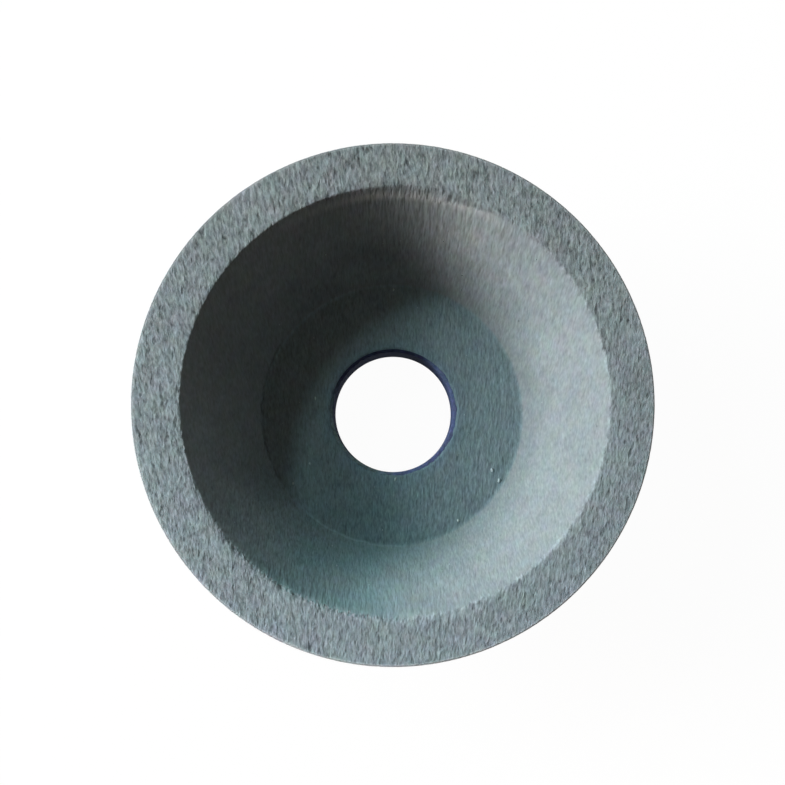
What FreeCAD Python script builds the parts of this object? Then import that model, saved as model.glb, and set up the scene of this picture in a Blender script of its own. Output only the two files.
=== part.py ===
import FreeCAD, Part
import os
import Sketcher

# Taper cup grinding wheel, standing on its flat back with the mouth up.
# Origin: where the bore's axis meets the back face. +Z runs along the axis and out of the mouth.

SIZES = [
    # name, millimetres, meaning
    ("mouth_diameter", 125.0, "outside of the rim, the wheel's widest place"),
    ("back_diameter", 86.0, "outside of the flat back"),
    ("wheel_height", 45.0, "back face to grinding face"),
    ("rim_width", 11.4, "flat grinding face, from its outer edge to the mouth"),
    ("floor_diameter", 69.4, "inside of the cup where the flaring wall meets the floor"),
    ("floor_thickness", 13.0, "back face to cup floor, which the clamp flange sits on"),
    ("arbor_diameter", 32.0, "spindle hole, inside its lining"),
    ("lining_wall", 0.75, "cast resin between the spindle hole and the abrasive"),
    ("floor_corner_radius", 1.1, "moulded round between the floor and the flaring wall"),
    ("mouth_edge_radius", 0.5, "inner edge of the grinding face"),
    ("rim_edge_radius", 0.4, "outer edge of the grinding face"),
    ("back_edge_radius", 1.0, "outer edge of the back face"),
]

doc = FreeCAD.newDocument("taper_cup_wheel")

sheet = doc.addObject("Spreadsheet::Sheet", "Sizes")
for row, (name, millimetres, meaning) in enumerate(SIZES, start=1):
    sheet.set(f"A{row}", name.replace("_", " "))
    sheet.set(f"B{row}", str(millimetres))
    sheet.set(f"C{row}", meaning)
    sheet.setAlias(f"B{row}", name)
doc.recompute()


def size(name):
    return float(sheet.get(name))


def new_body(name):
    body = doc.addObject("PartDesign::Body", name)
    body.Label = name
    return body


def new_sketch(body, name, role):
    plane = next(item for item in body.Origin.OriginFeatures if item.Role == role)
    sketch = body.newObject("Sketcher::SketchObject", name)
    sketch.AttachmentSupport = [(plane, "")]
    sketch.MapMode = "FlatFace"
    return sketch


def dimension(sketch, kind, places, label, formula):
    # places are the sketch's own numbers for the points or the curve that the dimension measures
    index = sketch.addConstraint(Sketcher.Constraint(kind, *places, 1.0))
    sketch.renameConstraint(index, label)
    sketch.setExpression(f"Constraints.{label}", formula)


def round_edge(body, name, circle_radius, height, size_name):
    # Rounds the one circular edge, centred on the axis, that has this radius at this height.
    solid = body.Tip

    def is_wanted(edge):
        if not isinstance(edge.Curve, Part.Circle):
            return False
        return abs(edge.Curve.Radius - circle_radius) < 1e-4 and abs(edge.Curve.Center.z - height) < 1e-4

    edges = [f"Edge{i}" for i, edge in enumerate(solid.Shape.Edges, start=1) if is_wanted(edge)]
    fillet = body.newObject("PartDesign::Fillet", name)
    fillet.Base = (solid, edges)
    fillet.setExpression("Radius", f"Sizes.{size_name}")
    doc.recompute()


# Abrasive cup: pressed and fired in one piece, so one section turned about the axis gives all of it.
# Two cones make the wall. The inner one leans out further, so the wall thins towards the rim.

cup = new_body("abrasive_cup")

bore_radius = size("arbor_diameter") / 2 + size("lining_wall")
back_radius = size("back_diameter") / 2
mouth_radius = size("mouth_diameter") / 2
mouth_inner_radius = mouth_radius - size("rim_width")
floor_radius = size("floor_diameter") / 2
floor_height = size("floor_thickness")
rim_height = size("wheel_height")

section = new_sketch(cup, "cup_section", "XZ_Plane")
corners = [
    FreeCAD.Vector(bore_radius, 0, 0),
    FreeCAD.Vector(back_radius, 0, 0),
    FreeCAD.Vector(mouth_radius, rim_height, 0),
    FreeCAD.Vector(mouth_inner_radius, rim_height, 0),
    FreeCAD.Vector(floor_radius, floor_height, 0),
    FreeCAD.Vector(bore_radius, floor_height, 0),
]
for start, end in zip(corners, corners[1:] + corners[:1]):
    section.addGeometry(Part.LineSegment(start, end), False)
BACK, OUTER_WALL, RIM, INNER_WALL, FLOOR, BORE = range(len(corners))
START, END = 1, 2
AXES_CROSS = (-1, 1)
for line in range(len(corners)):
    after = (line + 1) % len(corners)
    section.addConstraint(Sketcher.Constraint("Coincident", line, END, after, START))
for line in (BACK, RIM, FLOOR):
    section.addConstraint(Sketcher.Constraint("Horizontal", line))
section.addConstraint(Sketcher.Constraint("Vertical", BORE))
section.addConstraint(Sketcher.Constraint("PointOnObject", BACK, START, -1))

across = [
    ("lined_bore_radius", AXES_CROSS, (BACK, START), "Sizes.arbor_diameter / 2 + Sizes.lining_wall"),
    ("back_radius", AXES_CROSS, (BACK, END), "Sizes.back_diameter / 2"),
    ("mouth_radius", AXES_CROSS, (RIM, START), "Sizes.mouth_diameter / 2"),
    ("rim_width", (RIM, END), (RIM, START), "Sizes.rim_width"),
    ("floor_radius", AXES_CROSS, (FLOOR, START), "Sizes.floor_diameter / 2"),
]
for label, inner, outer, formula in across:
    dimension(section, "DistanceX", inner + outer, label, formula)
dimension(section, "DistanceY", AXES_CROSS + (RIM, START), "rim_height", "Sizes.wheel_height")
dimension(section, "DistanceY", AXES_CROSS + (FLOOR, START), "floor_height", "Sizes.floor_thickness")

pressing = cup.newObject("PartDesign::Revolution", "pressed_cup")
pressing.Profile = section
pressing.ReferenceAxis = (section, ["V_Axis"])
pressing.Angle = 360.0
doc.recompute()

round_edge(cup, "floor_corner", floor_radius, floor_height, "floor_corner_radius")
round_edge(cup, "mouth_edge", mouth_inner_radius, rim_height, "mouth_edge_radius")
round_edge(cup, "rim_edge", mouth_radius, rim_height, "rim_edge_radius")
round_edge(cup, "back_edge", back_radius, 0.0, "back_edge_radius")

# Arbor bush: thin resin cast in the abrasive's hole, flush with the back and with the cup's floor.

bush = new_body("arbor_bush")

ring = new_sketch(bush, "bush_ring", "XY_Plane")
for radius in (size("arbor_diameter") / 2, bore_radius):
    ring.addGeometry(Part.Circle(FreeCAD.Vector(0, 0, 0), FreeCAD.Vector(0, 0, 1), radius), False)
INSIDE, OUTSIDE = range(2)
CENTRE = 3
for circle in (INSIDE, OUTSIDE):
    ring.addConstraint(Sketcher.Constraint("Coincident", circle, CENTRE, *AXES_CROSS))
dimension(ring, "Radius", (INSIDE,), "arbor_radius", "Sizes.arbor_diameter / 2")
dimension(ring, "Radius", (OUTSIDE,), "bush_radius", "Sizes.arbor_diameter / 2 + Sizes.lining_wall")

casting = bush.newObject("PartDesign::Pad", "cast_lining")
casting.Profile = ring
casting.setExpression("Length", "Sizes.floor_thickness")
doc.recompute()

# Every feature has to have worked before anything is written.

for item in doc.Objects:
    if "Invalid" in item.State or "Error" in item.State:
        raise RuntimeError(f"{item.Name} failed: {item.State}")
pieces = [cup, bush]
for piece in pieces:
    shape = piece.Shape
    if shape.isNull() or not shape.isValid() or len(shape.Solids) != 1:
        raise RuntimeError(f"{piece.Label} is not one sound solid")

os.makedirs("parts", exist_ok=True)
for piece in pieces:
    piece.Shape.exportStep(os.path.join("parts", f"{piece.Label}.step"))
    print(piece.Label, round(piece.Shape.Volume / 1000, 2), "cm3")
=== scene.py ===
import math
import random

import bmesh
import bpy
from mathutils import Matrix, Vector, noise


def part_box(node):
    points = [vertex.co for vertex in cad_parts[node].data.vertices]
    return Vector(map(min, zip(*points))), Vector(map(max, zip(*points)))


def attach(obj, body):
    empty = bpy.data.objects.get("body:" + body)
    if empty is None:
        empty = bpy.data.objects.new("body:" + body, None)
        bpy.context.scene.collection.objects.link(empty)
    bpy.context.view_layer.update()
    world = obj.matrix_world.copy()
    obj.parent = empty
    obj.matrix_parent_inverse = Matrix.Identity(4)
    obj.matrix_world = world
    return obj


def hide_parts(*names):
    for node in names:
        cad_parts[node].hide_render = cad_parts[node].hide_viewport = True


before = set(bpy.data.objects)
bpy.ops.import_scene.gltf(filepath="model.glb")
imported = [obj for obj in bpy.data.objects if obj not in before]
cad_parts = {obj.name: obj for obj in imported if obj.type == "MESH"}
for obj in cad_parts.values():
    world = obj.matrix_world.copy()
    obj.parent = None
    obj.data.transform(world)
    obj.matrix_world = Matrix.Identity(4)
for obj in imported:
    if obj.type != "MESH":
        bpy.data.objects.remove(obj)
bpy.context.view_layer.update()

mm = 0.001
samePlace = 1e-7  # in metres, as the next is
touching = 1e-6
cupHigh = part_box("abrasive_cup")[1]
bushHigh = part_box("arbor_bush")[1]
print("frame loaded:", sorted(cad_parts))

# Camera and light. The camera looks straight down, from a little to the -Y side of the cup's axis.

viewpoint = {
    "height": 261.6 * mm,  # above the rim
    "aside": (0.64 * mm, -15.3 * mm),  # from the cup's axis
    "lens": 50.53,
    "shift": (-0.0037, 0.09805),  # the picture is framed on the cup, off the lens's own axis
}


def addCamera(settings):
    camera = bpy.data.objects.new("camera", bpy.data.cameras.new("camera"))
    bpy.context.scene.collection.objects.link(camera)
    camera.location = (*settings["aside"], cupHigh.z + settings["height"])
    camera.data.lens = settings["lens"]
    camera.data.sensor_width = 36
    camera.data.shift_x, camera.data.shift_y = settings["shift"]
    camera.data.clip_start = 0.01
    bpy.context.scene.camera = camera


softLights = [
    {
        "name": "coolWindow", "azimuth": 161, "elevation": 26, "across": 1.0, "up": 0.8,
        "watts": 49, "colour": (0.66, 0.96, 1),
    },
    {
        "name": "warmWindow", "azimuth": 171, "elevation": 22, "across": 1.0, "up": 0.8,
        "watts": 67, "colour": (1, 0.73, 0.72),
    },
    {
        "name": "lamp", "azimuth": 140, "elevation": 44, "across": 0.24, "up": 0.24,
        "watts": 9.6, "colour": (0.8, 1, 0.99),
    },
    {
        "name": "backFill", "azimuth": 90, "elevation": 18, "across": 1.8, "up": 0.8,
        "watts": 9.8, "colour": (0.86, 0.96, 1),
    },
]
lightDistance = 2.0  # every light's middle, from the middle of the rim


def addLights(lights):
    for light in lights:
        data = bpy.data.lights.new(light["name"], "AREA")
        data.shape = "RECTANGLE"
        data.size = light["across"]
        data.size_y = light["up"]
        data.energy = light["watts"]
        data.color = light["colour"]
        lamp = bpy.data.objects.new(light["name"], data)
        azimuth = math.radians(light["azimuth"])
        elevation = math.radians(light["elevation"])
        away = Vector((math.cos(azimuth), math.sin(azimuth), math.tan(elevation))).normalized()
        lamp.location = Vector((0, 0, cupHigh.z)) + away * lightDistance
        lamp.rotation_euler = (-away).to_track_quat("-Z", "Y").to_euler()
        bpy.context.scene.collection.objects.link(lamp)


backdrop = {
    "floorSide": 6.0,
    "floorColour": (0.8, 0.8, 0.8, 1),
    "whiteShare": 0.97,  # how much of the floor's look to the camera is plain white
    "skyColour": (1, 0.727, 0.58, 1),
    "skyStrength": 0.146,
}


def seenDirectly(tree):
    # 1 for what the camera sees itself, in a gloss or through glass
    path = tree.nodes.new("ShaderNodeLightPath")
    seen = path.outputs["Is Camera Ray"]
    for ray in ("Is Glossy Ray", "Is Transmission Ray"):
        either = tree.nodes.new("ShaderNodeMath")
        either.operation = "MAXIMUM"
        tree.links.new(seen, either.inputs[0])
        tree.links.new(path.outputs[ray], either.inputs[1])
        seen = either.outputs[0]
    return seen


def addFloor(settings):
    shape = bmesh.new()
    bmesh.ops.create_grid(shape, x_segments=1, y_segments=1, size=settings["floorSide"] / 2)
    mesh = bpy.data.meshes.new("floor")
    shape.to_mesh(mesh)
    shape.free()
    floor = bpy.data.objects.new("floor", mesh)
    bpy.context.scene.collection.objects.link(floor)
    material = bpy.data.materials.new("paleFloor")
    material.use_nodes = True
    tree = material.node_tree
    tree.nodes.clear()
    matt = tree.nodes.new("ShaderNodeBsdfDiffuse")
    matt.inputs["Color"].default_value = settings["floorColour"]
    white = tree.nodes.new("ShaderNodeEmission")
    white.inputs["Strength"].default_value = 1.0
    share = tree.nodes.new("ShaderNodeMath")
    share.operation = "MULTIPLY"
    share.inputs[1].default_value = settings["whiteShare"]
    blend = tree.nodes.new("ShaderNodeMixShader")
    output = tree.nodes.new("ShaderNodeOutputMaterial")
    tree.links.new(seenDirectly(tree), share.inputs[0])
    tree.links.new(share.outputs[0], blend.inputs["Fac"])
    tree.links.new(matt.outputs[0], blend.inputs[1])
    tree.links.new(white.outputs[0], blend.inputs[2])
    tree.links.new(blend.outputs[0], output.inputs["Surface"])
    mesh.materials.append(material)


def addSky(settings):
    world = bpy.data.worlds.new("sky")
    bpy.context.scene.world = world
    world.use_nodes = True
    tree = world.node_tree
    tree.nodes.clear()
    dim = tree.nodes.new("ShaderNodeBackground")
    dim.inputs["Color"].default_value = settings["skyColour"]
    dim.inputs["Strength"].default_value = settings["skyStrength"]
    white = tree.nodes.new("ShaderNodeBackground")
    white.inputs["Color"].default_value = (1, 1, 1, 1)
    white.inputs["Strength"].default_value = 1.0
    blend = tree.nodes.new("ShaderNodeMixShader")
    output = tree.nodes.new("ShaderNodeOutputWorld")
    tree.links.new(seenDirectly(tree), blend.inputs["Fac"])
    tree.links.new(dim.outputs[0], blend.inputs[1])
    tree.links.new(white.outputs[0], blend.inputs[2])
    tree.links.new(blend.outputs[0], output.inputs["Surface"])


addCamera(viewpoint)
addLights(softLights)
addFloor(backdrop)
addSky(backdrop)
bpy.context.scene.view_settings.view_transform = "Standard"
print("camera, light and floor made")

# Turned shapes, for both pieces


def sectionWire(corners):
    # A closed half section. Each corner is (radius, z, its round, segments of the round,
    # rings in the run after it).
    shape = bmesh.new()
    rings = shape.edges.layers.int.new("rings")
    verts = [shape.verts.new((corner[0], 0, corner[1])) for corner in corners]
    for vert, after, corner in zip(verts, verts[1:] + verts[:1], corners):
        edge = shape.edges.new((vert, after))
        edge[rings] = corner[4]
    for vert, (radius, z, rounding, segments, count) in zip(verts, corners):
        if not rounding:
            continue
        one, other = [edge.other_vert(vert).co - vert.co for edge in vert.link_edges]
        made = bmesh.ops.bevel(
            shape, geom=[vert], offset=rounding / math.tan(one.angle(other) / 2), offset_type="OFFSET",
            affect="VERTICES", segments=segments, profile=0.5, material=-1,
        )
        for edge in made["edges"]:
            edge[rings] = 1
    for edge in [edge for edge in shape.edges if edge[rings] > 1]:
        bmesh.ops.subdivide_edges(shape, edges=[edge], cuts=edge[rings] - 1)
    return shape


def turnRound(shape, steps):
    bmesh.ops.spin(
        shape, geom=shape.edges[:] + shape.verts[:], cent=(0, 0, 0), axis=(0, 0, 1),
        angle=math.tau, steps=steps, use_merge=True, use_duplicate=False,
    )
    bmesh.ops.remove_doubles(shape, verts=shape.verts[:], dist=samePlace)
    bmesh.ops.recalc_face_normals(shape, faces=shape.faces[:])
    shape.normal_update()


def asPiece(shape, name, material):
    mesh = bpy.data.meshes.new(name)
    shape.to_mesh(mesh)
    shape.free()
    mesh.materials.append(material)
    mesh.polygons.foreach_set("use_smooth", [True] * len(mesh.polygons))
    piece = bpy.data.objects.new(name, mesh)
    bpy.context.scene.collection.objects.link(piece)
    print(name, "has", sum(len(face.vertices) - 2 for face in mesh.polygons), "triangles")
    return piece


def between(value, low, high):
    return min(max((value - low) / (high - low), 0), 1)


# Surfaces, for both pieces


def newFinish(name, roughness, specular):
    material = bpy.data.materials.new(name)
    material.use_nodes = True
    tree = material.node_tree
    shader = tree.nodes["Principled BSDF"]
    shader.inputs["Roughness"].default_value = roughness
    shader.inputs["Specular IOR Level"].default_value = specular
    return material, tree, shader


def plug(tree, socket, source):
    # a link from another node's output, or a plain value
    if isinstance(source, bpy.types.NodeSocket):
        tree.links.new(source, socket)
    else:
        socket.default_value = source


def attribute(tree, name, output="Fac"):
    node = tree.nodes.new("ShaderNodeAttribute")
    node.attribute_name = name
    return node.outputs[output]


def lumps(tree, place, size, octaves=2.0, output="Fac", harshness=0.5):
    # soft noise; size is the spacing of its lumps
    node = tree.nodes.new("ShaderNodeTexNoise")
    node.inputs["Scale"].default_value = 1 / size
    node.inputs["Detail"].default_value = octaves
    node.inputs["Roughness"].default_value = harshness
    tree.links.new(place, node.inputs["Vector"])
    return node.outputs[output]


def remap(tree, value, low, high, newLow=0.0, newHigh=1.0):
    node = tree.nodes.new("ShaderNodeMapRange")
    node.inputs["From Min"].default_value = low
    node.inputs["From Max"].default_value = high
    node.inputs["To Min"].default_value = newLow
    node.inputs["To Max"].default_value = newHigh
    tree.links.new(value, node.inputs["Value"])
    return node.outputs["Result"]


def total(tree, start, parts):
    # start plus each value times its weight
    for value, weight in parts:
        node = tree.nodes.new("ShaderNodeMath")
        node.operation = "MULTIPLY_ADD"
        tree.links.new(value, node.inputs[0])
        plug(tree, node.inputs[1], weight)
        plug(tree, node.inputs[2], start)
        start = node.outputs[0]
    return start


def vectorMath(tree, way, first, second):
    node = tree.nodes.new("ShaderNodeVectorMath")
    node.operation = way
    plug(tree, node.inputs[0], first)
    plug(tree, node.inputs["Scale"] if way == "SCALE" else node.inputs[1], second)
    return node.outputs["Value"] if way in ("DOT_PRODUCT", "DISTANCE") else node.outputs["Vector"]


def mixed(tree, amount, first, second, colours=False):
    node = tree.nodes.new("ShaderNodeMix")
    node.data_type = "RGBA" if colours else "FLOAT"
    kind = 6 if colours else 2  # where the node keeps its sockets of that type
    plug(tree, node.inputs[0], amount)
    plug(tree, node.inputs[kind], first)
    plug(tree, node.inputs[kind + 1], second)
    return node.outputs[2 if colours else 0]


def wandering(tree, place, size, strength):
    # a colour near white, whose channels each wander on their own
    channels = lumps(tree, place, size, 2.0, "Color")
    node = tree.nodes.new("ShaderNodeVectorMath")
    node.operation = "MULTIPLY_ADD"
    tree.links.new(channels, node.inputs[0])
    node.inputs[1].default_value = [strength] * 3
    node.inputs[2].default_value = [1 - strength / 2] * 3
    return node.outputs["Vector"]


def bump(tree, shader, height):
    # height is in millimetres
    node = tree.nodes.new("ShaderNodeBump")
    node.inputs["Distance"].default_value = 1 * mm
    tree.links.new(height, node.inputs["Height"])
    tree.links.new(node.outputs["Normal"], shader.inputs["Normal"])


# Abrasive cup

cup = {
    "size": {
        "height": cupHigh.z,
        "floorHeight": bushHigh.z,
        "holeRadius": bushHigh.x,
        "mouthRadius": 62.5 * mm,
        "mouthInner": 51.1 * mm,
        "backRadius": 43 * mm,
        "floorRadius": 34.7 * mm,
        "backRound": 1.0 * mm,
        "outerRound": 0.4 * mm,
        "mouthRound": 0.5 * mm,
        "floorRound": 1.1 * mm,
        "mouthOff": (0.52 * mm, 0.65 * mm),  # the cavity stands a little off the wheel's axis, at its mouth
        "floorOff": (-0.35 * mm, -0.95 * mm),  # and the other way at its floor
        "holeKept": 1 * mm,  # nothing is shifted this near the hole
        "outsideKept": 0.5 * mm,  # nor this near the outside
        "stepsRound": 400,
        "rimSplit": 4,  # how many facets on the rim stand over each one below
        "rimSplitDown": 0.6 * mm,  # how far below the rim's face these reach
    },
    "relief": {
        "streakWidth": 0.9 * mm,
        "streakLength": 2.4,  # times the width, along Y
        "streakDown": 8,  # and down the walls
        "streakShorten": 850 * mm,  # they get shorter towards -Y, by this measure
        "streakMeet": 465 * mm,  # the streaks lean together, towards a point this far off at -Y
        "dressedDepth": 0.08 * mm,  # how far the ground face's relief reaches in
        "dressedDown": 0.25 * mm,  # from this far down it fades out, to the end of the finer facets
        "pitDepth": 0.12 * mm,  # the deepest pulled-out grains
        "pitAbove": 0.25,  # the noise leaves no pit below this
        "mouldedDepth": 0.03 * mm,
        "mouldedPatch": 2.2 * mm,
        "crumbDepth": 0.14 * mm,  # loss along the mouth's edge
        "crumbReach": 1.0 * mm,
        "crumbWay": (-0.5, -0.8),  # more of it on this side
    },
    "border": {  # where the ground face ends
        "torn": 0.3,  # how far it strays, in millimetres
        "tornFront": 10.0,  # how many times more at the front
        "tornBack": 3.5,
        "fade": (-0.6, 0.2),  # from the skin's colour to the face's, in millimetres inwards
        "reliefFade": (-1, 0.2),  # and from its relief to the face's
        "lump": 0.5 * mm,  # the size of the strays
    },
    "worn": {  # the mouth's edge is rubbed down at the back
        "angle": 82,  # the bearing from +X of the deepest wear
        "spread": 17,  # in degrees to each side
        "depth": 0.8 * mm,
        "reach": 4.5 * mm,
        "faceDown": 2.8,  # how much further down the ground face reaches there, in millimetres
        "elsewhere": 0.15,  # on the +X side, as a share of the full depth
        "elsewhereAt": 40 * mm,  # this far from the middle
        "way": (0.52, -0.85),  # outwards and down
    },
    "furrows": {  # they cross the mouth's edge at the front
        "width": 0.62 * mm,
        "depth": 1.1 * mm,
        "reach": 3.0 * mm,
        "front": (0.25, 0.8),  # from none to all, by how far round to -Y
        "right": (-0.05, 0.4),  # from all to few, by how far round to +X
        "fewer": 0.85,
        "even": 0.62,  # what is lost evenly, and by the fine and the wide furrows
        "fine": 0.14,
        "wide": 0.3,
        "wideness": 2.7,  # of the wide ones, times the width
    },
    "paintedEdgeLight": {  # painted light: paler edges, on the outer edge and below the worn stretch of the mouth's edge
        "tone": 1.1,  # how much paler, as a share of the tone
        "tint": (1.13, 1.0, 0.97),
        "outer": 1.04,  # how strong it is on the outer edge
        "outerWay": (0.34, -0.31),  # paler on this side
        "outerWidth": 1.0 * mm,
        "outerWider": 0.2 * mm,  # towards -X
        "outerFull": 0.2 * mm,  # nearer the edge than this it is at its full strength
        "outerDown": (0.3 * mm, 0.7 * mm, 2.2 * mm),  # it drops off at first, and is gone at the last
        "outerDrop": 0.85,
        "worn": 0.5,  # and how strong below the worn stretch of the mouth's edge
        "wornAngle": 91,
        "wornSpread": 24,
        "wornDown": (1.0 * mm, 2.0 * mm, 2.8 * mm, 4.0 * mm),  # it fades in and out between these
    },
    "tones": {
        "face": (0.161, 0.199, 0.2115),
        "paintedFaceLight": (0.115, 0.142, 0.17),  # painted light: paler towards -Y, the blue more than the red
        "wall": (0.155, 0.191, 0.199),
        "floor": (0.118, 0.170, 0.186),
        "stain": (0.88, 0.99, 1.12),  # resin that has soaked in round the hole
        "stainReach": 4 * mm,
        "grit": (0.29, 0.38, 0.39),
    },
    "seam": {  # the faint line that the mould's parts have left round the floor; its tone is painted shade to the left and painted highlight at the front
        "place": (0.4 * mm, -0.3 * mm),
        "radius": 35.3 * mm,
        "width": 0.4 * mm,
        "lump": 2.5 * mm,  # the length of its wobbles
        "stray": 1.0 * mm,  # and their width
        "reach": (1 * mm, 8 * mm),  # it is looked for this far below and above the floor
        "paintedShade": (138, 150, 205, 216),  # bearings between which the painted shade and the painted highlight fade in and out
        "paintedHighlight": (216, 235, 268, 280),
        # how far the painted shade darkens and the painted highlight lightens the line
        "tone": -0.45,
        "depth": -0.06,
    },
    "paintedLightAndShade": [  # painted light and shade: patches that lighten, darken or tint the moulded skin; x, y and reach in millimetres, the tone, and the floor's share of it
        (-14, -38, 24, (0.72, 1.0, 1.03), 0.5),
        (0, -43, 14, (1.2, 1.14, 1.14), 0),
        (-4, -25, 8, (0.87, 0.87, 0.87), 1),
        (-40, -20, 15, (0.84, 0.84, 0.84), 0),
        (-33, 16, 13, (0.8, 0.8, 0.8), 0.1),
        (-16, 30, 14, (0.66, 0.66, 0.66), 0.1),
        (2, 36, 13, (0.7, 0.7, 0.7), 0),
        (15, 48, 10, (1.5, 1.43, 1.4), 0),
        (21, 40, 9, (1.18, 1.16, 1.15), 0),
        (44, -8, 18, (0.92, 0.92, 0.92), 0),
    ],
    "strength": {  # how strongly the texture shows
        "skin": 1.1,
        "skinBack": 0.42,  # more at the back
        "skinFront": 0.24,  # and at the front
        "skinCorner": 0.8,  # and most round this bearing
        "cornerAngle": -135,
        "cornerSpread": 25,
        "floor": 1.55,
        "floorRight": 0.25,
        "floorFront": 0.35,
        "face": 1.0,
        "faceSide": 0.2,  # more to the left and at the back
    },
    "grit": {
        "stuck": [  # x, y and width in millimetres, of grains that stand out of the floor
            (26.4, -15.5, 0.8), (28.3, -18.2, 0.8), (17.4, -28.9, 0.7), (0.6, -17.9, 0.6),
            (-26.6, -19.0, 0.5), (0.1, 32.6, 0.5), (-20.7, 3.6, 0.5), (-22.2, -13.7, 0.45),
        ],
        "sunk": 0.02 * mm,  # how far their middles lie below the floor
        "loose": 50,
        "looseWidth": (0.2 * mm, 0.38 * mm),
        "looseTone": (0.5, 0.85),
        "looseRise": (0.1, 0.95),  # up the wall
        "looseRadius": (18 * mm, 32 * mm),  # on the floor
        "long": (1.3, 2.0),  # along Y, times the width
        "tall": (0.7, 1.0),
        "lean": 0.3,
        "lumpy": 0.5,
        "seed": 11,
    },
    "finish": {
        "roughness": 0.9,
        "specular": 0.2,
        "faceLump": 1.3 * mm,
        "faceFine": 0.58 * mm,
        "faceStretch": 0.9,
        "cut": 0.95 * mm,  # short dark cuts in the face
        "cutPlace": (0.3, 0.1, 0.2),  # a shift, so that the cuts don't follow the lumps
        "cutShare": (0.57, 0.72),  # the noise makes a cut from the first to the second
        "faceHeights": (0.17, 0.18, -0.06),  # of lumps, fine streaks and cuts, in millimetres
        "faceWaves": (0.36, 1.98, -0.3),  # and what they do to the tone
        "skinWide": 0.9 * mm,
        "skinLump": 0.48 * mm,
        "skinFine": 0.3 * mm,
        "skinStretch": 0.62,
        "wideStretch": 0.8,
        "skinHeights": (0.13, 0.04),  # of wide and middling streaks
        "skinWaves": (0.16, 0.4, 0.5),  # of wide, middling and fine ones
        "patch": 7 * mm,
        "patchTone": 0.25,
        "hueWide": (4.5 * mm, 0.18),  # patches whose colour differs: their size, and by how much
        "hueFine": (1.0 * mm, 0.12),
    },
}


def cupCorners(size):
    return [
        (size["holeRadius"], 0, 0, 0, 4),
        (size["backRadius"], 0, size["backRound"], 4, 16),
        (size["mouthRadius"], size["height"], size["outerRound"], 3, 28),
        (size["mouthInner"], size["height"], size["mouthRound"], 3, 48),
        (size["floorRadius"], size["floorHeight"], size["floorRound"], 5, 18),
        (size["holeRadius"], size["floorHeight"], 0, 0, 1),
    ]


def splitRim(shape, size):
    # finer facets round the wheel, on the ground face and both its edges only
    around = []
    for edge in shape.edges:
        a, b = (vert.co for vert in edge.verts)
        level = abs(a.z - b.z) < samePlace and abs(a.xy.length - b.xy.length) < samePlace
        if level and min(a.z, b.z) > size["height"] - size["rimSplitDown"]:
            around.append(edge)
    bmesh.ops.subdivide_edges(shape, edges=around, cuts=size["rimSplit"] - 1, use_grid_fill=True)
    shape.normal_update()


def offAxis(place, size):
    # how far the cavity is shifted here; nothing at the hole, on the outside and on the back
    if place.z < size["floorHeight"] - 1 * mm:
        return Vector((0, 0, 0))
    rise = between(place.z, size["floorHeight"], size["height"])
    inner = size["floorRadius"] + (size["mouthInner"] - size["floorRadius"]) * rise
    outer = size["backRadius"] + (size["mouthRadius"] - size["backRadius"]) * place.z / size["height"]
    radius = place.xy.length
    share = between(radius, size["holeRadius"] + size["holeKept"], inner)
    share *= 1 - between(radius, inner, outer - size["outsideKept"])
    return Vector((*size["floorOff"], 0)).lerp(Vector((*size["mouthOff"], 0)), rise) * share


def onOutside(vert):
    # true on the outside and on the back
    place = vert.co
    outward = vert.normal.x * place.x + vert.normal.y * place.y
    return outward > 0.5 * place.xy.length or place.z < 0.1 * mm


def atMouth(place, size):
    # true at the mouth's edge and inside the cup
    return place.xy.length < size["mouthInner"] + 1 * mm


def grainPlace(vert, relief):
    # Inside the cup and on its face the grain runs along Y; outside it has no direction.
    place = vert.co
    if onOutside(vert):
        return place.copy()
    lean = 1 + place.y / relief["streakMeet"]
    along = place.y * (1 - place.y / relief["streakShorten"]) / relief["streakLength"]
    return Vector((place.x / lean, along, place.z / relief["streakDown"]))


def nearBearing(place, middle, spread):
    # 1 at this bearing from +X, fading to both sides of it
    off = (math.degrees(math.atan2(place.y, place.x)) - middle) / spread
    return math.exp(-(off**2))


def towards(place, way):
    # more than nothing on this side of the wheel, and less than nothing on the other
    return (way[0] * place.x + way[1] * place.y) / place.xy.length


def nearEdge(place, size, reach):
    # 1 on the mouth's edge, nothing beyond this reach of it
    away = math.dist((place.xy.length, place.z), (size["mouthInner"], size["height"]))
    return (1 - between(away, 0, reach)) ** 2


def wornShare(place, worn):
    # 1 where the mouth's edge is rubbed down most
    share = nearBearing(place, worn["angle"], worn["spread"])
    return max(share, worn["elsewhere"] * between(place.x, 0, worn["elsewhereAt"]))


def wornAt(place, size, worn):
    # how far the mouth's edge is rubbed down here
    return worn["depth"] * wornShare(place, worn) * nearEdge(place, size, worn["reach"])


def furrowAt(place, grain, size, furrows):
    # how deep the furrows are here
    share = between(towards(place, (0, -1)), *furrows["front"])
    share *= 1 - furrows["fewer"] * between(towards(place, (1, 0)), *furrows["right"])
    fine = noise.noise(grain / furrows["width"])
    wide = noise.noise(grain / furrows["width"] / furrows["wideness"])
    lost = furrows["even"] + furrows["fine"] * fine + furrows["wide"] * wide
    return furrows["depth"] * share * lost * nearEdge(place, size, furrows["reach"])


deepSkin = -9  # what inwardAt's value is held at, far from the ground face, in millimetres


def inwardAt(place, size, worn):
    # how far in from its edges a spot on the ground face is, in millimetres;
    # below nothing on the walls under it
    radius = place.xy.length
    inward = min(radius - size["mouthInner"], size["mouthRadius"] - radius)
    below = (size["height"] - place.z) / mm
    if atMouth(place, size):
        below -= worn["faceDown"] * wornShare(place, worn)
    return max(inward, 0) / mm - below


def tornAt(place, border):
    # how far the border between ground face and skin strays here, in millimetres
    across = towards(place, (0, 1))
    more = border["tornFront"] if across < 0 else border["tornBack"]
    return border["torn"] * (1 + more * across**2)


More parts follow.
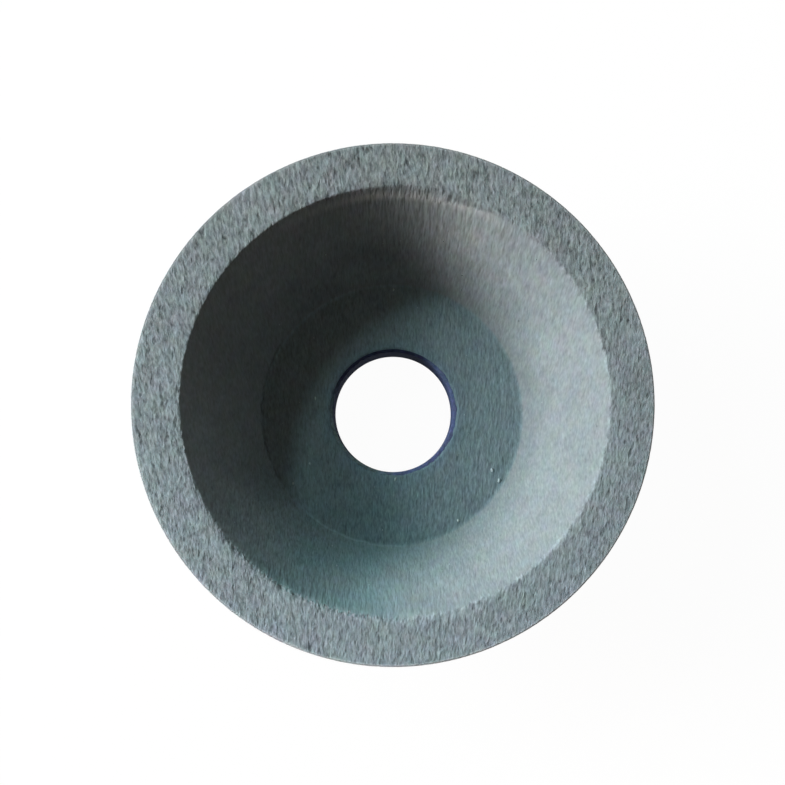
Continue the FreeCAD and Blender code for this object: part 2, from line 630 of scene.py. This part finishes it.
def depthAt(vert, grain, dressed, size, relief):
    # how far this spot lies below the pressed form; each noise has a start of its own
    place = vert.co
    streaky = grain / relief["streakWidth"]
    coarse = noise.noise(streaky)
    fine = noise.noise(streaky * 2.1 + Vector((7, 3, 1)))
    patch = noise.noise(place / relief["mouldedPatch"])
    pit = max(0, noise.noise(streaky * 0.9 + Vector((31, 11, 5))) - relief["pitAbove"])
    ground = relief["dressedDepth"] * (0.5 + 0.4 * coarse + 0.3 * fine) + relief["pitDepth"] * pit
    moulded = relief["mouldedDepth"] * (0.5 + 0.3 * patch + 0.2 * fine)
    nearMouth = 1 - between(abs(place.xy.length - size["mouthInner"]), 0, relief["crumbReach"])
    crumb = relief["crumbDepth"] * max(0, 0.2 + 0.6 * coarse + fine) * nearMouth
    crumb *= 1 + towards(place, relief["crumbWay"])
    down = size["height"] - place.z
    dressed *= 1 - between(down, relief["dressedDown"], size["rimSplitDown"])
    return dressed * (ground + crumb) + (1 - dressed) * moulded


def multiply(first, second):
    return Vector([a * b for a, b in zip(first, second)])


def onFloorAt(place, size):
    return 1 - between(place.z, size["floorHeight"] + 0.1 * mm, size["floorHeight"] + 0.6 * mm)


def shadeAt(vert, size, tones, paintedLightAndShade):
    # the moulded skin's colour: wall and floor tones, patches of painted light and shade, and the resin stain
    # round the hole
    place = vert.co
    if onOutside(vert):
        return Vector(tones["wall"])
    onFloor = onFloorAt(place, size)
    skin = Vector(tones["wall"]).lerp(Vector(tones["floor"]), onFloor)
    stray = 1 + 0.6 * noise.noise(place / (12 * mm))
    # each patch is painted light or painted shade
    for x, y, reach, tone, floorShare in paintedLightAndShade:
        away = math.dist((place.x / mm, place.y / mm), (x, y)) / reach
        share = min(math.exp(-(away**2)) * stray, 1) * (1 + (floorShare - 1) * onFloor)
        skin = skin.lerp(multiply(skin, tone), share)
    fromHole = place.xy.length - size["holeRadius"]
    soaked = 1 - between(fromHole, 0, tones["stainReach"])
    soaked *= onFloor * (0.7 + 0.6 * noise.noise(place / (5 * mm)))
    return skin.lerp(multiply(skin, tones["stain"]), soaked)


def fading(value, marks):
    # 1 on a stretch, fading in over its first two marks and out over its last two
    start, full, ending, end = marks
    return between(value, start, full) * (1 - between(value, ending, end))


def seamAt(place, size, seam):
    # how plain the seam is here: painted shade to the left, painted highlight at the front
    below, above = seam["reach"]
    if place.z > size["floorHeight"] + above or place.z < size["floorHeight"] - below:
        return 0
    angle = math.degrees(math.atan2(place.y, place.x)) % 360
    unevenness = 0.75 + 0.5 * noise.noise(place / (6 * mm))
    return (fading(angle, seam["paintedShade"]) - fading(angle, seam["paintedHighlight"])) * unevenness


def strengthAt(place, dressed, size, strength):
    # how strongly the texture shows here
    back = towards(place, (0, 1))
    skin = strength["skin"] + strength["skinBack" if back > 0 else "skinFront"] * back**2
    skin += strength["skinCorner"] * nearBearing(place, strength["cornerAngle"], strength["cornerSpread"])
    floor = strength["floor"] + strength["floorRight"] * between(place.x, -20 * mm, -2 * mm)
    floor += strength["floorFront"] * max(-back, 0)
    skin += onFloorAt(place, size) * (floor - skin)
    leftAndBack = (max(-place.x, 0) + max(place.y, 0)) / size["mouthRadius"]
    face = strength["face"] + strength["faceSide"] * leftAndBack
    return skin + (face - skin) * dressed


def paintedEdgeLightAt(place, size, paintedEdgeLight):
    # painted light: the outer edge is paler, most at the front right; so is the worn stretch of the mouth's
    # edge
    down = size["height"] - place.z
    if atMouth(place, size):
        near = nearBearing(place, paintedEdgeLight["wornAngle"], paintedEdgeLight["wornSpread"])
        return paintedEdgeLight["worn"] * near * fading(down, paintedEdgeLight["wornDown"])
    width = paintedEdgeLight["outerWidth"] - paintedEdgeLight["outerWider"] * towards(place, (1, 0))
    fromEdge = size["mouthRadius"] - place.xy.length
    outer = 1 - between(fromEdge, paintedEdgeLight["outerFull"], width)
    outer *= paintedEdgeLight["outer"] + towards(place, paintedEdgeLight["outerWay"])
    start, dropped, end = paintedEdgeLight["outerDown"]
    outer *= 1 - paintedEdgeLight["outerDrop"] * between(down, start, dropped)
    return outer * (1 - between(down, dropped, end))


def layTexture(shape, settings):
    size = settings["size"]
    inwardLayer = shape.verts.layers.float.new("inward")
    tornLayer = shape.verts.layers.float.new("torn")
    paintedEdgeLightLayer = shape.verts.layers.float.new("paintedEdgeLight")
    seamLayer = shape.verts.layers.float.new("seam")
    roughLayer = shape.verts.layers.float.new("rough")
    grainLayer = shape.verts.layers.float_vector.new("grain")
    shadeLayer = shape.verts.layers.float_color.new("shade")
    moves = []
    for vert in shape.verts:
        place = vert.co
        radius = place.xy.length
        inward = inwardAt(place, size, settings["worn"])
        dressed = between(inward, *settings["border"]["reliefFade"])
        grain = grainPlace(vert, settings["relief"])
        vert[inwardLayer] = max(inward, deepSkin)
        vert[tornLayer] = tornAt(place, settings["border"])
        vert[paintedEdgeLightLayer] = paintedEdgeLightAt(place, size, settings["paintedEdgeLight"])
        vert[grainLayer] = grain
        vert[seamLayer] = seamAt(place, size, settings["seam"])
        vert[roughLayer] = strengthAt(place, dressed, size, settings["strength"])
        vert[shadeLayer] = (*shadeAt(vert, size, settings["tones"], settings["paintedLightAndShade"]), 1)
        if place.z > touching and radius > size["holeRadius"] + touching:
            depth = depthAt(vert, grain, dressed, size, settings["relief"])
            outward, down = settings["worn"]["way"]
            way = Vector((outward * place.x / radius, outward * place.y / radius, down))
            lost = wornAt(place, size, settings["worn"]) + furrowAt(place, grain, size, settings["furrows"])
            moves.append((vert, offAxis(place, size) - vert.normal * depth + way * lost))
    for vert, move in moves:
        vert.co += move
    shape.normal_update()


def addGrain(shape, place, width, tone, subdivisions, rng, grit):
    made = bmesh.ops.create_icosphere(shape, subdivisions=subdivisions, radius=0.5)
    stretch = Vector((1, rng.uniform(*grit["long"]), rng.uniform(*grit["tall"]))) * width
    lean = Matrix.Rotation(rng.uniform(-grit["lean"], grit["lean"]), 3, "Z")
    start = Vector((rng.random(), rng.random(), rng.random())) * 50
    for vert in made["verts"]:
        rough = 1 + grit["lumpy"] * noise.noise(vert.co * 2.5 + start)
        vert.co = lean @ multiply(vert.co * rough, stretch) + place
        vert[shape.verts.layers.float_vector["grain"]] = vert.co
        vert[shape.verts.layers.float["rough"]] = 1
        vert[shape.verts.layers.float["inward"]] = deepSkin
        vert[shape.verts.layers.float_color["shade"]] = (*tone, 1)


def addGrit(shape, size, grit, colour):
    rng = random.Random(grit["seed"])
    for x, y, width in grit["stuck"]:
        place = Vector((x * mm, y * mm, size["floorHeight"] - grit["sunk"]))
        addGrain(shape, place, width * mm, Vector(colour), 2, rng, grit)
    for number in range(grit["loose"]):
        angle = rng.uniform(0, math.tau)
        width = rng.uniform(*grit["looseWidth"])
        tone = Vector(colour) * rng.uniform(*grit["looseTone"])
        if number % 3:
            rise = rng.uniform(*grit["looseRise"])
            radius = size["floorRadius"] + (size["mouthInner"] - size["floorRadius"]) * rise
            z = size["floorHeight"] + (size["height"] - size["floorHeight"]) * rise
        else:
            radius = rng.uniform(*grit["looseRadius"])
            z = size["floorHeight"]
        place = Vector((radius * math.cos(angle), radius * math.sin(angle), z))
        place += offAxis(place, size)
        addGrain(shape, place, width, tone, 1, rng, grit)


def seamLine(tree, place, seam):
    stray = vectorMath(tree, "SCALE", lumps(tree, place, seam["lump"], 3.0, "Color"), seam["stray"])
    flat = vectorMath(tree, "MULTIPLY", vectorMath(tree, "ADD", place, stray), (1, 1, 0))
    flat = vectorMath(tree, "SUBTRACT", flat, (seam["stray"] / 2, seam["stray"] / 2, 0))
    fromMiddle = vectorMath(tree, "DISTANCE", flat, (*seam["place"], 0))
    offSeam = total(tree, -seam["radius"], [(fromMiddle, 1.0)])
    within = remap(tree, offSeam, -seam["width"], 0, 0, 1)
    beyond = remap(tree, offSeam, 0, seam["width"], 1, 0)
    line = total(tree, 0.0, [(within, beyond)])
    return total(tree, 0.0, [(line, attribute(tree, "seam"))])


def stretched(tree, grain, stretch):
    # the grain's own coordinates, with its streaks made longer
    return vectorMath(tree, "MULTIPLY", grain, (1, stretch, 1))


def waves(tree, parts, weights):
    # each noise times its weight, with their mean at nothing
    return total(tree, -sum(weights) / 2, list(zip(parts, weights)))


def faceTexture(tree, grain, finish):
    # the ground face's height and tone: fine streaks with a few short dark cuts
    lump = lumps(tree, grain, finish["faceLump"], 1.0)
    fine = lumps(tree, stretched(tree, grain, finish["faceStretch"]), finish["faceFine"], 3.0, harshness=0.65)
    shifted = vectorMath(tree, "ADD", grain, finish["cutPlace"])
    cuts = remap(tree, lumps(tree, shifted, finish["cut"], 1.0), *finish["cutShare"])
    height = waves(tree, [lump, fine], finish["faceHeights"][:2])
    wave = waves(tree, [lump, fine], finish["faceWaves"][:2])
    height = total(tree, height, [(cuts, finish["faceHeights"][2])])
    return height, total(tree, wave, [(cuts, finish["faceWaves"][2])])


def skinTexture(tree, grain, finish):
    # the moulded skin's height and tone: finer and softer streaks
    streaks = stretched(tree, grain, finish["skinStretch"])
    wide = lumps(tree, stretched(tree, grain, finish["wideStretch"]), finish["skinWide"], 1.0)
    skin = lumps(tree, streaks, finish["skinLump"], 2.0)
    fine = lumps(tree, streaks, finish["skinFine"], 1.0)
    height = waves(tree, [wide, skin], finish["skinHeights"])
    return height, waves(tree, [wide, skin, fine], finish["skinWaves"])


def makeCupFinish(settings):
    finish, tones = settings["finish"], settings["tones"]
    border, paintedEdgeLightSettings = settings["border"], settings["paintedEdgeLight"]
    material, tree, shader = newFinish("greenAbrasive", finish["roughness"], finish["specular"])
    place = tree.nodes.new("ShaderNodeTexCoord").outputs["Object"]
    grain = attribute(tree, "grain", "Vector")
    rough = attribute(tree, "rough")
    paintedEdgeLight = attribute(tree, "paintedEdgeLight")

    # where the ground face ends, torn along the dressing stroke
    tear = total(tree, -1.0, [(lumps(tree, grain, border["lump"], 2.0), 2.0)])
    inward = total(tree, attribute(tree, "inward"), [(tear, attribute(tree, "torn"))])
    dressed = remap(tree, inward, *border["fade"])

    faceHeight, faceWave = faceTexture(tree, grain, finish)
    # painted light: the ground face grows paler towards -Y
    forward = vectorMath(tree, "DOT_PRODUCT", place, (0, -1 / settings["size"]["mouthRadius"], 0))
    paintedLight = vectorMath(tree, "SCALE", tones["paintedFaceLight"], forward)
    paintedLight = vectorMath(tree, "ADD", paintedLight, (1, 1, 1))
    faceShade = vectorMath(tree, "MULTIPLY", paintedLight, tones["face"])
    skinHeight, skinWave = skinTexture(tree, grain, finish)

    # the seam line carries painted shade and highlight as well as its relief
    seam = seamLine(tree, place, settings["seam"])
    patch = lumps(tree, place, finish["patch"], 1.0)
    wave = mixed(tree, dressed, skinWave, faceWave)
    value = total(tree, 1 - finish["patchTone"] / 2, [(wave, rough), (patch, finish["patchTone"])])
    # the seam's painted shade and highlight, and the painted light on the edges
    value = total(tree, value, [(seam, settings["seam"]["tone"]), (paintedEdgeLight, paintedEdgeLightSettings["tone"])])
    shade = mixed(tree, dressed, attribute(tree, "shade", "Color"), faceShade, colours=True)
    colour = vectorMath(tree, "SCALE", shade, value)
    colour = vectorMath(tree, "MULTIPLY", colour, wandering(tree, place, *finish["hueWide"]))
    colour = vectorMath(tree, "MULTIPLY", colour, wandering(tree, grain, *finish["hueFine"]))
    # the painted edge light is warmer in tint
    tint = mixed(tree, paintedEdgeLight, (1, 1, 1, 1), (*paintedEdgeLightSettings["tint"], 1), colours=True)
    colour = vectorMath(tree, "MULTIPLY", colour, tint)
    tree.links.new(colour, shader.inputs["Base Color"])

    height = mixed(tree, dressed, skinHeight, faceHeight)
    bump(tree, shader, total(tree, 0.0, [(height, rough), (seam, settings["seam"]["depth"])]))
    return material


cupShape = sectionWire(cupCorners(cup["size"]))
turnRound(cupShape, cup["size"]["stepsRound"])
splitRim(cupShape, cup["size"])
layTexture(cupShape, cup)
addGrit(cupShape, cup["size"], cup["grit"], cup["tones"]["grit"])
cupPiece = asPiece(cupShape, "abrasive_cup_ground", makeCupFinish(cup))
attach(cupPiece, "root")
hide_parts("abrasive_cup")
print("abrasive cup made")

# Arbor bush

bush = {
    "size": {
        "innerRadius": bushHigh.x - 0.75 * mm,
        "outerRadius": bushHigh.x,
        "height": bushHigh.z,
        "stepsRound": 480,
        "smear": 0.4 * mm,  # how far resin has crept over the cup's floor
        "film": 0.03 * mm,  # how thick it lies there
        "seat": 0.08 * mm,  # how deep it is keyed into the floor
        "round": 0.12 * mm,
    },
    "edge": {  # the smear wanders in and out on the floor
        "wide": 1.7 * mm,
        "fine": 0.6 * mm,
        "fineShare": 0.6,
        "mean": 0.5,  # share of the smear that is there on average
        "strength": 0.9,
        "least": 0.03,
    },
    "tones": {
        # the resin's own blue, then tones of painted shade for its far side, its back and down the hole
        "blue": (0.088, 0.115, 0.23),
        "paintedShade": (0.018, 0.022, 0.046),
        "thin": (0.108, 0.152, 0.168),
        "bore": (0.013, 0.02, 0.046),
        "thickAndPaintedLitAngle": -20,  # the bearing from +X round which the resin is thickest and painted lit
        "thickAndPaintedLitFade": (0.1, 0.5),  # from thin and in painted shade to thick and painted lit, by the cosine from that bearing
        "paintedShadeFade": (-3 * mm, 9 * mm),  # painted shade: the thin resin gets darker towards +Y
        "boreFade": (0.1 * mm, 0.5 * mm),  # painted shade too: all of the thin resin gets darker this far down the hole
    },
    "finish": {
        "roughness": 0.8,
        "specular": 0.02,
        "mottle": 0.9 * mm,
        "mottleTone": 1.6,
        "mottleHeight": 0.08,
        "specks": 0.45 * mm,
        "speckShare": (0.62, 0.75),  # the noise makes a speck from the first to the second
        "speckTone": -0.55,
        "speckHeight": -0.03,
        "hue": (1.6 * mm, 0.5),  # patches whose colour differs: their size, and by how much
    },
}


def bushCorners(size):
    smearRadius = size["outerRadius"] + size["smear"]
    keyed = size["height"] - size["seat"]
    filmTop = size["height"] + size["film"]
    return [
        (size["innerRadius"], 0, 0, 0, 1),
        (size["outerRadius"], 0, 0, 0, 1),
        (size["outerRadius"], keyed, 0, 0, 1),
        (smearRadius, keyed, 0, 0, 1),
        (smearRadius, size["height"] - 0.01 * mm, 0, 0, 2),
        (size["outerRadius"] - 0.1 * mm, filmTop, 0, 0, 3),
        (size["innerRadius"], filmTop, size["round"], 3, 14),
    ]


def thickAndPaintedLitAt(place, tones):
    # 1 where the resin is thick and painted lit in its own blue, 0 on the far side of the hole, where it is
    # thin and in painted shade
    fromMiddle = math.atan2(place.y, place.x) - math.radians(tones["thickAndPaintedLitAngle"])
    return between(math.cos(fromMiddle), *tones["thickAndPaintedLitFade"])


def resinAt(place, size, tones):
    # painted shade: dark down the hole and at the back, nearly the floor's own colour at the front left;
    # painted lit blue where the resin is thick
    down = between(size["height"] - place.z, *tones["boreFade"])
    thin = Vector(tones["thin"]).lerp(Vector(tones["paintedShade"]), between(place.y, *tones["paintedShadeFade"]))
    thin = thin.lerp(Vector(tones["bore"]), down)
    return thin.lerp(Vector(tones["blue"]), thickAndPaintedLitAt(place, tones))


def layResin(shape, size, edge, tones):
    # the resin's colour with its painted light and shade, and its edge on the floor
    shadeLayer = shape.verts.layers.float_color.new("shade")
    for vert in shape.verts:
        vert[shadeLayer] = (*resinAt(vert.co, size, tones), 1)
        outward = vert.co.xy.length - size["outerRadius"]
        if outward > 0.02 * mm:
            wander = noise.noise(vert.co / edge["wide"])
            wander += edge["fineShare"] * noise.noise(vert.co / edge["fine"])
            share = (edge["mean"] + edge["strength"] * wander) * thickAndPaintedLitAt(vert.co, tones)
            reach = outward * min(max(share, edge["least"]), 1)
            vert.co.x, vert.co.y = vert.co.xy.normalized() * (size["outerRadius"] + reach)


def makeBushFinish(finish):
    material, tree, shader = newFinish("bushResin", finish["roughness"], finish["specular"])
    place = tree.nodes.new("ShaderNodeTexCoord").outputs["Object"]
    mottle = lumps(tree, place, finish["mottle"], 3.0)
    specks = remap(tree, lumps(tree, place, finish["specks"], 1.0), *finish["speckShare"])
    start = 1 - finish["mottleTone"] / 2
    value = total(tree, start, [(mottle, finish["mottleTone"]), (specks, finish["speckTone"])])
    colour = vectorMath(tree, "SCALE", wandering(tree, place, *finish["hue"]), value)
    colour = vectorMath(tree, "MULTIPLY", colour, attribute(tree, "shade", "Color"))
    tree.links.new(colour, shader.inputs["Base Color"])
    bump(tree, shader, total(tree, 0.0, [(mottle, finish["mottleHeight"]), (specks, finish["speckHeight"])]))
    return material


bushShape = sectionWire(bushCorners(bush["size"]))
turnRound(bushShape, bush["size"]["stepsRound"])
layResin(bushShape, bush["size"], bush["edge"], bush["tones"])
bushPiece = asPiece(bushShape, "arbor_bush_cast", makeBushFinish(bush["finish"]))
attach(bushPiece, "root")
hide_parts("arbor_bush")
print("arbor bush made")
